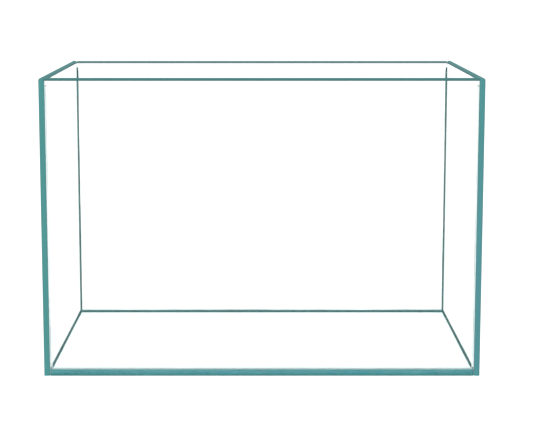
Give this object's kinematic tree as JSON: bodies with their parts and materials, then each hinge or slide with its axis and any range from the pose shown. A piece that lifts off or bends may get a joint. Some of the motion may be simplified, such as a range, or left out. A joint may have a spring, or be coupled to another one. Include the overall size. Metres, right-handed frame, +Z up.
{
  "type": "glass aquarium tank",
  "caption": "Rimless rectangular aquarium of clear float glass panes bonded with silicone, open at the top, with polished edges and a flat underside.",
  "frame": {"origin": "middle of the footprint, on the surface that the tank stands on", "axes": "+X along the front to the right, +Y from the front to the back, +Z up"},
  "size_m": [0.6, 0.4, 0.41],
  "materials": {
    "float_glass": "polished clear float glass with ground and polished edges",
    "bond_silicone": "clear cured silicone film",
    "bead_silicone": "smooth tooled silicone"
  },
  "bodies": {
    "root": {"bottom_pane": "float_glass", "front_pane": "float_glass", "back_pane": "float_glass", "left_pane": "float_glass", "right_pane": "float_glass", "base_bond_front": "bond_silicone", "base_bond_back": "bond_silicone", "base_bond_left": "bond_silicone", "base_bond_right": "bond_silicone", "corner_bond_front_left": "bond_silicone", "corner_bond_front_right": "bond_silicone", "corner_bond_back_right": "bond_silicone", "corner_bond_back_left": "bond_silicone", "base_bead_front": "bead_silicone", "base_bead_right": "bead_silicone", "base_bead_back": "bead_silicone", "base_bead_left": "bead_silicone", "corner_bead_front_left": "bead_silicone", "corner_bead_front_right": "bead_silicone", "corner_bead_back_right": "bead_silicone", "corner_bead_back_left": "bead_silicone"}
  },
  "joints": []
}
